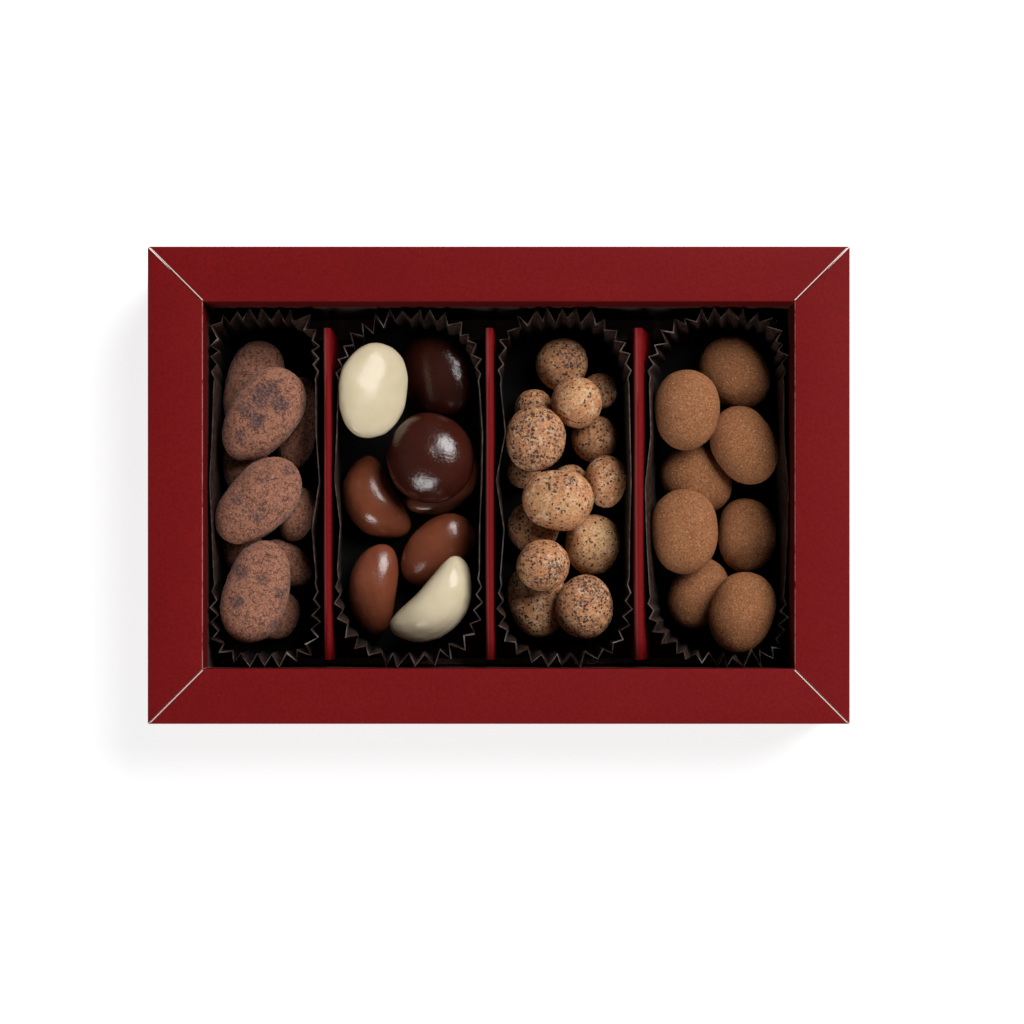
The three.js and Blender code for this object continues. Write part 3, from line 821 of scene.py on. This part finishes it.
powder = cocoa.mix(veil, powder, tint(98, 76, 74))
streaks = cocoa.step(cocoa.noise(0.8, 5, rough=0.75), 0.46, 0.54)
streaks = cocoa.math("MULTIPLY", streaks, cocoa.step(wiped, 0.2, 0.7))
powder = cocoa.mix(cocoa.math("MULTIPLY", streaks, 0.8), powder, tint(62, 50, 54))
cocoa.colour(powder)
marks = cocoa.math("MAXIMUM", flecks, cracks)
cocoa.relief(cocoa.math("ADD", grain, cocoa.math("MULTIPLY", marks, -0.5)), 0.14)
print("cocoa finish:", cocoa.material.name)

# %% Cocoa almonds
WIPED = {                         # for each nut: column, row, radius in pixels and strength
    8: [
        (262, 396, 18, 1.0),
        (280, 403, 13, 0.9),
        (246, 408, 13, 0.8),
        (272, 388, 12, 0.9),
        (256, 420, 12, 1.0),
        (240, 436, 12, 0.6),
    ],
    9: [(236, 500, 12, 0.6), (262, 478, 14, 0.5), (288, 470, 12, 0.6), (258, 516, 14, 0.6)],
    10: [
        (240, 570, 12, 0.7),
        (278, 592, 10, 0.7),
        (236, 602, 12, 0.7),
        (262, 580, 10, 0.6),
        (272, 624, 8, 0.6),
    ],
}
COCOA_LAYERS = [(7, 0.3), (2.4, 0.08), (0.8, 0.04)]
ALMONDS = 10
POWDERED_PASSES = 4
for number in range(1, ALMONDS + 1):
    coated_nut(
        f"cocoa_almond_{number:02d}", f"cocoa_nut_{number:02d}", cocoa,
        COCOA_LAYERS, POWDERED_PASSES, seed=number, marks=WIPED.get(number), attribute="wiped",
    )
print("cocoa almonds:", ALMONDS)

# %% [markdown]
# ## Polished nuts
#
# White, milk and dark coatings are polished. The shader gets a low roughness. A faint orange-peel
# relief breaks up the highlights, as it does on the real ones.

# %% Polished finishes


def polished(name, deep, light, roughness, gloss, peel):
    """A polished coating between two tints. peel is the depth of its orange peel in mm."""
    made = Finish(name, Roughness=roughness, Specular_IOR_Level=gloss)
    drift = made.noise(6, 3)
    made.colour(made.mix(drift, deep, light))
    made.relief(made.noise(0.75, 3, rough=0.6), peel)
    return made


white = polished("white_chocolate", tint(199, 183, 148), tint(216, 203, 174), 0.2, 0.28, 0.03)
milk = polished("milk_chocolate", tint(104, 50, 32), tint(134, 74, 50), 0.22, 0.6, 0.07)
dark = polished("dark_chocolate", tint(50, 19, 13), tint(70, 30, 21), 0.14, 0.7, 0.12)
print("polished finishes:", white.material.name, milk.material.name, dark.material.name)

# %% Polished nuts
POLISHED_LAYERS = [(8, 0.35), (3.5, 0.05)]
POLISHED_PASSES = 12
for kind, finish, count in (("white", white, 2), ("milk", milk, 4), ("dark", dark, 2)):
    for number in range(1, count + 1):
        coated_nut(
            f"{kind}_nut_{number}", f"polished_{kind}_{number}", finish,
            POLISHED_LAYERS, POLISHED_PASSES, seed=20 + number,
        )
    print(kind, "nuts:", count)

# %% [markdown]
# ## Speckled nuts
#
# These are rolled in caramel sugar with cocoa crumbs. The ground is tan with paler patches, and
# dark specks of mixed size sit on it, thick on some nuts and thin on others. Scattered points make
# the specks: each point draws its own size, and the place is warped first, so no speck is round.
# Where they lie thick, crumbs also run together in short winding strings.

# %% Speckled finish
speckled = Finish("speckled_sugar", Roughness=0.68, Specular_IOR_Level=0.3)
density = speckled.attribute("crumbs")
ground = speckled.mix(speckled.noise(5, 4), tint(177, 116, 72), tint(215, 158, 112))
pale_patch = speckled.math("MULTIPLY", speckled.step(speckled.noise(2.4, 4), 0.48, 0.66), 0.65)
ground = speckled.mix(pale_patch, ground, tint(229, 195, 156))
ground = speckled.mix(speckled.attribute("pale"), ground, tint(222, 186, 134))
caramel = speckled.math("MULTIPLY", speckled.step(speckled.noise(0.8, 5, rough=0.8), 0.46, 0.6), 0.8)
ground = speckled.mix(caramel, ground, tint(149, 96, 64))
murk = speckled.math("ADD", speckled.noise(1.5, 5, rough=0.8), speckled.math("MULTIPLY", density, 0.3))
murk = speckled.math("MULTIPLY", speckled.step(murk, 0.58, 0.8), 0.65)
ground = speckled.mix(murk, ground, tint(128, 96, 85))
ragged = speckled.warped(0.6, 0.8)


def specks(size, radius, share):
    """Ragged spots on the points whose draw, with the density there, reaches over the rest."""
    far, draw, big = speckled.cells(size, ragged)
    far = speckled.math("ADD", far, speckled.math("MULTIPLY", big, 0.22))
    spot = speckled.step(far, radius + 0.1, radius * 0.6 + 0.1)
    chosen = speckled.step(speckled.math("ADD", draw, density), 1.0 - share, 1.04 - share)
    return speckled.math("MULTIPLY", spot, chosen)


crumbs = speckled.math("MAXIMUM", specks(0.85, 0.5, 0.24), specks(1.7, 0.36, 0.0))
crowded = speckled.math("ADD", speckled.noise(1.4, 4), speckled.math("MULTIPLY", density, 0.5))
strings = speckled.math("MULTIPLY", speckled.creases(1.0, 0.05), speckled.step(crowded, 0.7, 0.84))
crumbs = speckled.math("MAXIMUM", crumbs, strings)
two_tones = speckled.step(speckled.noise(1.8, 3), 0.4, 0.65)
crumb_tone = speckled.mix(two_tones, tint(32, 22, 21), tint(80, 58, 54))
speckled.colour(speckled.mix(speckled.math("MULTIPLY", crumbs, 0.92), ground, crumb_tone))
speckled.relief(speckled.math("ADD", speckled.math("MULTIPLY", crumbs, 0.5), speckled.noise(0.8, 4)), 0.14)
print("speckled finish:", speckled.material.name)

# %% Speckled nuts
SPECKLED = 15
SPECKLED_LAYERS = [(6, 0.22), (2.0, 0.09)]
USUAL_CRUMBS = 0.25               # how thick the crumbs lie on a nut
CRUMBS = {8: 0.3, 9: 0.05, 10: 0.2, 11: 0.12, 12: 0.42, 13: 0.1, 14: 0.3, 15: 0.38}
CLUSTER = 0.25                    # how much thicker in a cluster
CLUSTER_SIZE = 5 * MM
PALE = {                          # for each nut: column, row, radius in pixels and strength
    8: [(512, 580, 20, 0.9), (540, 622, 16, 0.4)],
    9: [(603, 535, 22, 0.7), (590, 553, 18, 0.5)],
    11: [(578, 395, 16, 0.4)],
    13: [(545, 500, 16, 0.4), (570, 505, 14, 0.4)],
}
DARK_SPOTS = {                    # the same, where crumbs have gathered
    1: [(567, 355, 22, 0.3)],
    13: [(558, 486, 16, 0.5), (570, 480, 9, 0.8), (562, 497, 18, 0.35)],
    14: [(556, 570, 12, 0.4)],
    15: [(585, 590, 20, 0.2)],
}
for number in range(1, SPECKLED + 1):
    node = f"speckled_nut_{number:02d}"
    shape = rounded(node, POWDERED_PASSES)
    cake(shape, SPECKLED_LAYERS, 40 + number)
    paint(shape, "pale", PALE.get(number, []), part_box(node)[1].z)
    paint(shape, "crumbs", DARK_SPOTS.get(number, []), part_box(node)[1].z)
    layer = shape.verts.layers.float["crumbs"]
    for vertex in shape.verts:
        cluster = CLUSTER * noise.noise(vertex.co / CLUSTER_SIZE + Vector((number, 0, 0)))
        vertex[layer] += CRUMBS.get(number, USUAL_CRUMBS) + cluster
    hand_over(f"crumbed_nut_{number:02d}", shape, [speckled], [node], smooth_below=180)
print("speckled nuts:", SPECKLED)

# %% [markdown]
# ## Dusted nuts
#
# The last bay's nuts have a fine, even crust of brown powder with tiny sugar grains. Pale specks in
# the colour stand for the grains and for the glints they catch, which are painted highlights.

# %% Dusted finish
dusted = Finish("brown_dust", Roughness=0.8, Specular_IOR_Level=0.3)
crust = dusted.mix(dusted.noise(6, 3), tint(140, 88, 53), tint(162, 107, 70))
sand = dusted.noise(0.55, 5, rough=0.8)
crust = dusted.mix(dusted.math("MULTIPLY", dusted.step(sand, 0.5, 0.62), 0.75), crust, tint(98, 57, 35))
crust = dusted.mix(dusted.math("MULTIPLY", dusted.step(sand, 0.48, 0.36), 0.7), crust, tint(206, 146, 98))
grain_far, grain_draw, _ = dusted.cells(0.8)
# Painted glints: pale grain specks that also stand for the light the grains catch.
grain_and_glint = dusted.math("MULTIPLY", dusted.step(grain_far, 0.26, 0.1), dusted.step(grain_draw, 0.84, 0.9))
crust = dusted.mix(dusted.math("MULTIPLY", grain_and_glint, 0.85), crust, tint(236, 184, 132))
dusted.colour(crust)
dusted.relief(dusted.math("ADD", sand, dusted.math("MULTIPLY", grain_and_glint, 0.6)), 0.26)
print("dusted finish:", dusted.material.name)

# %% Dusted nuts
DUSTED = 8
DUSTED_LAYERS = [(7, 0.18), (1.6, 0.06), (0.6, 0.04)]
for number in range(1, DUSTED + 1):
    coated_nut(
        f"dusted_nut_{number}", f"powdered_nut_{number}", dusted,
        DUSTED_LAYERS, POWDERED_PASSES, seed=60 + number,
    )
print("dusted nuts:", DUSTED)

# %% [markdown]
# ## Table and light
#
# The table is plain and white, and glows a little, so that it stays white beside the box while a
# faint shadow still shows. Two soft lights stand to either side: a large one behind on the right,
# and a smaller one low in front. Their reflections are the two highlights on the polished nuts. The
# lights are ellipses, because a square one would give the highlights corners.

# %% Table
TABLE_HALF = 1.6                  # half the table's width, in metres
TABLE_GAP = 0.05 * MM             # keeps the table and the underside of the box apart
table_shape = bmesh.new()
bmesh.ops.create_grid(table_shape, x_segments=1, y_segments=1, size=TABLE_HALF)
bmesh.ops.translate(table_shape, vec=(0, 0, -TABLE_GAP), verts=table_shape.verts)
table_mesh = bpy.data.meshes.new("table")
table_shape.to_mesh(table_mesh)
table_shape.free()
table = bpy.data.objects.new("table", table_mesh)
bpy.context.scene.collection.objects.link(table)
table_white = Finish("table_white", Roughness=0.9)
table_white.shader.inputs["Base Color"].default_value = (0.45, 0.45, 0.45, 1)
table_white.shader.inputs["Emission Color"].default_value = (1, 1, 1, 1)
table_white.shader.inputs["Emission Strength"].default_value = 0.75
table_mesh.materials.append(table_white.material)
print("table width in metres:", 2 * TABLE_HALF)

# %% Lights
LARGE_FROM = (0.52, 0.47, 0.71)   # the way to each light, from the middle of the box
FRONT_FROM = (-0.22, -0.84, 0.50)
WORLD_STRENGTH = 0.045


def softbox(name, direction, distance, width, height, power):
    """A soft light, aimed at the middle of the box. Lengths are in metres, the power in watts."""
    light = bpy.data.lights.new(name, "AREA")
    light.shape = "ELLIPSE"
    light.size, light.size_y = width, height
    light.energy = power
    holder = bpy.data.objects.new(name, light)
    way = Vector(direction).normalized()
    holder.location = way * distance
    holder.rotation_euler = way.to_track_quat("Z", "Y").to_euler()
    bpy.context.scene.collection.objects.link(holder)


softbox("large_softbox", LARGE_FROM, distance=1.6, width=1.15, height=1.15, power=31.5)
softbox("front_softbox", FRONT_FROM, distance=1.1, width=0.45, height=0.5, power=5.0)
world = bpy.data.worlds.new("studio")
world.use_nodes = True
background = world.node_tree.nodes["Background"]
background.inputs["Color"].default_value = (1, 1, 1, 1)
background.inputs["Strength"].default_value = WORLD_STRENGTH
bpy.context.scene.world = world
bpy.context.scene.view_settings.view_transform = "Standard"
